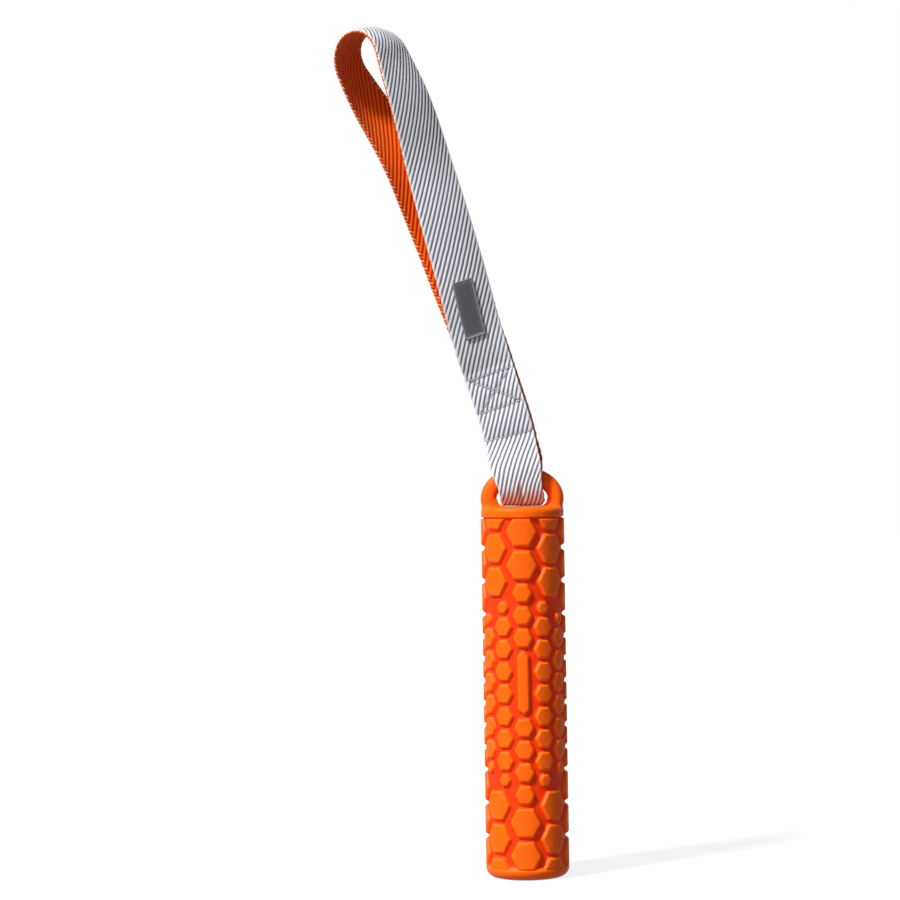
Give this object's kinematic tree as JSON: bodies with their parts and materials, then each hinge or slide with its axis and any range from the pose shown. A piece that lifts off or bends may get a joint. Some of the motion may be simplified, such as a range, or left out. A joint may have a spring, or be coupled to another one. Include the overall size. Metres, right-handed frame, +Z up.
{
  "type": "training bumper",
  "caption": "Floating rubber stick with raised hexagon pads, a moulded bail on top and a sewn webbing hand loop, for throwing and fetching.",
  "frame": {"origin": "centre of the stick's flat base", "axes": "+Z up the stick towards the bail and handle; the front, with the plaque and the sewn label, faces -Y; +X to the right seen from the front, and the handle leans towards -X"},
  "size_m": [0.1353, 0.0508, 0.5221],
  "materials": {
    "shell_rubber": "satin",
    "core_foam": "matte",
    "plug_rubber": "satin",
    "webbing": "satin",
    "thread": "satin",
    "label_rubber": "matte",
    "label_thread": "satin"
  },
  "bodies": {
    "bumper": {"bumper_shell": "shell_rubber", "foam_core": "core_foam", "fill_plug": "plug_rubber"},
    "bail_loop": {"bail_webbing": "webbing", "box_stitching": "thread", "row_stitching": "thread"},
    "hand_loop": {"hand_webbing": "webbing", "label_patch": "label_rubber", "label_stitching": "label_thread"}
  },
  "joints": [
    {"name": "handle_swing", "type": "hinge", "parent": "bumper", "child": "bail_loop", "pos_m": [0, 0, 0.24147], "axis": [1, 0, 0], "range_deg": [-60, 60]},
    {"name": "handle_flex", "type": "hinge", "parent": "bail_loop", "child": "hand_loop", "pos_m": [-0.01921, 0, 0.30954], "axis": [0.9385, -0.1751, 0.2977], "range_deg": [-65, 65]}
  ]
}
